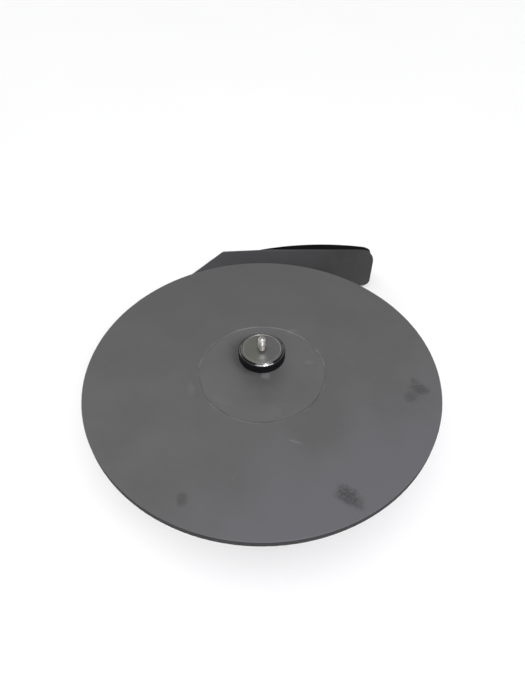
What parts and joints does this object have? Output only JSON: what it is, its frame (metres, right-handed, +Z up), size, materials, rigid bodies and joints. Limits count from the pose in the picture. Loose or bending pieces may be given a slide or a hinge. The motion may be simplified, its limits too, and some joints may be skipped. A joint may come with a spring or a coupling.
{
  "type": "pottery wheel",
  "caption": "Tabletop pottery wheel: flat round wheel head with a threaded centre stud and bat clamp, over a belt-driven base with a rear splash guard and control housing.",
  "frame": {"origin": "on the wheel's axis at table level, at the underside of the centre foot", "axes": "+Z up along the wheel's axis, the potter sits on the -Y side, the control housing is on the +Y side"},
  "size_m": [0.3, 0.3957, 0.1125],
  "materials": {
    "wheel_paint": "matte, fine texture",
    "guard_paint": "matte",
    "housing_black": "matte, lightly grained",
    "cover_grey": "matte, lightly grained",
    "stainless": "turned, satin",
    "plated_steel": "zinc plated",
    "black_steel": "black oxide",
    "cast_aluminium": "machined",
    "brass": "turned",
    "rubber": "matte",
    "nylon": "natural",
    "ferrite": "sintered",
    "board_green": "solder resist",
    "knob_black": "satin moulded",
    "lens_red": "translucent red",
    "lead_sheath": "flexible sheath"
  },
  "bodies": {
    "base": {"lower_bearing_outer": "stainless", "upper_bearing_outer": "stainless", "bearing_housing": "cast_aluminium", "bearing_housing_screws": "black_steel", "drive_belt": "rubber", "motor_can": "plated_steel", "motor_end_plate": "plated_steel", "motor_bushes": "brass", "motor_magnets": "ferrite", "motor_bracket": "plated_steel", "motor_standoffs": "cast_aluminium", "bracket_screws": "black_steel", "motor_screws": "black_steel", "base_plate": "plated_steel", "base_screws": "plated_steel", "foot_front_left": "rubber", "foot_front_right": "rubber", "foot_rear_left": "rubber", "foot_rear_right": "rubber", "foot_screws": "plated_steel", "centre_foot": "rubber", "drum_cover": "cover_grey", "speed_pot": "plated_steel", "speed_pot_nut": "plated_steel", "power_switch": "housing_black", "pilot_lamp": "lens_red", "splash_guard": "guard_paint", "guard_nuts": "plated_steel", "control_housing": "housing_black", "power_inlet": "knob_black", "control_board": "board_green", "board_spacers": "nylon", "heat_sink": "cast_aluminium", "capacitors": "knob_black", "motor_lead": "lead_sheath"},
    "wheel": {"wheel_head": "wheel_paint", "hub_flange": "cast_aluminium", "hub_flange_screws": "black_steel", "set_screws": "black_steel", "main_shaft": "stainless", "retaining_ring": "black_steel", "centre_stud": "stainless", "shaft_seal": "rubber", "lower_bearing_inner": "stainless", "upper_bearing_inner": "stainless", "bearing_spacer": "plated_steel", "driven_pulley": "cast_aluminium"},
    "ball_sets": {"bearing_balls": "stainless", "bearing_cages": "brass"},
    "motor_rotor": {"motor_armature": "plated_steel", "motor_shaft": "stainless", "motor_pulley": "brass"},
    "clamp_slider": {"clamp_washer": "nylon"},
    "clamp_nut": {"clamp_cap": "stainless", "clamp_rubber_ring": "rubber", "clamp_insert": "brass"},
    "knob": {"speed_knob": "knob_black", "speed_pot_shaft": "cast_aluminium"},
    "rocker": {"power_rocker": "knob_black"}
  },
  "joints": [
    {"name": "wheel_spin", "type": "hinge", "parent": "base", "child": "wheel", "pos_m": [0, 0, 0.05], "axis": [0, 0, 1], "continuous": true},
    {"name": "ball_orbit", "type": "hinge", "parent": "base", "child": "ball_sets", "pos_m": [0, 0, 0.022], "axis": [0, 0, 1], "continuous": true},
    {"name": "motor_spin", "type": "hinge", "parent": "base", "child": "motor_rotor", "pos_m": [0, 0.078, 0.03], "axis": [0, 0, 1], "continuous": true},
    {"name": "clamp_travel", "type": "slide", "parent": "wheel", "child": "clamp_slider", "axis": [0, 0, 1], "range_m": [-0.018, 0.007]},
    {"name": "clamp_turn", "type": "hinge", "parent": "clamp_slider", "child": "clamp_nut", "pos_m": [0, 0, 0.0965], "axis": [0, 0, 1], "range_deg": [-6480, 2520]},
    {"name": "knob_turn", "type": "hinge", "parent": "base", "child": "knob", "pos_m": [0.017, -0.12, 0.026], "axis": [0, -1, 0], "range_deg": [-270, 0]},
    {"name": "rocker_press", "type": "hinge", "parent": "base", "child": "rocker", "pos_m": [-0.018, -0.1135, 0.026], "axis": [1, 0, 0], "range_deg": [-20, 0]}
  ],
  "couplings": [
    {"joint": "ball_orbit", "follows": "wheel_spin", "ratio": 0.381},
    {"joint": "motor_spin", "follows": "wheel_spin", "ratio": 6},
    {"joint": "clamp_travel", "follows": "clamp_turn", "m_per_rad": 0.00015915}
  ]
}
